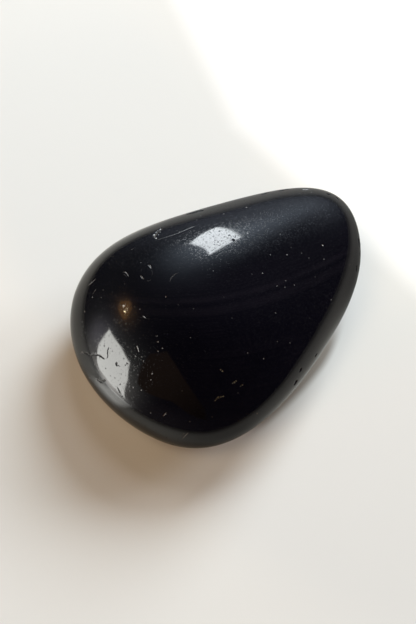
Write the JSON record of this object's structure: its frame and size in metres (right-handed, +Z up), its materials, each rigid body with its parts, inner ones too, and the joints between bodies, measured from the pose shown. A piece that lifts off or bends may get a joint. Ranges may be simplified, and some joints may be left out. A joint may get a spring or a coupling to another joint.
{
  "type": "obsidian chunk",
  "caption": "Tumbled obsidian stone: a polished jet-black, pear-shaped pebble of volcanic glass, wide at one end and narrow at the other, lying on a small worn flat.",
  "frame": {"origin": "under the middle of the stone, level with the surface that it lies on", "axes": "+X along the stone to its narrow end, +Y across it to its straighter long side, +Z up"},
  "size_m": [0.0446, 0.0334, 0.0173],
  "materials": {
    "obsidian": "polished"
  },
  "bodies": {
    "root": {"obsidian_stone": "obsidian"}
  },
  "joints": []
}
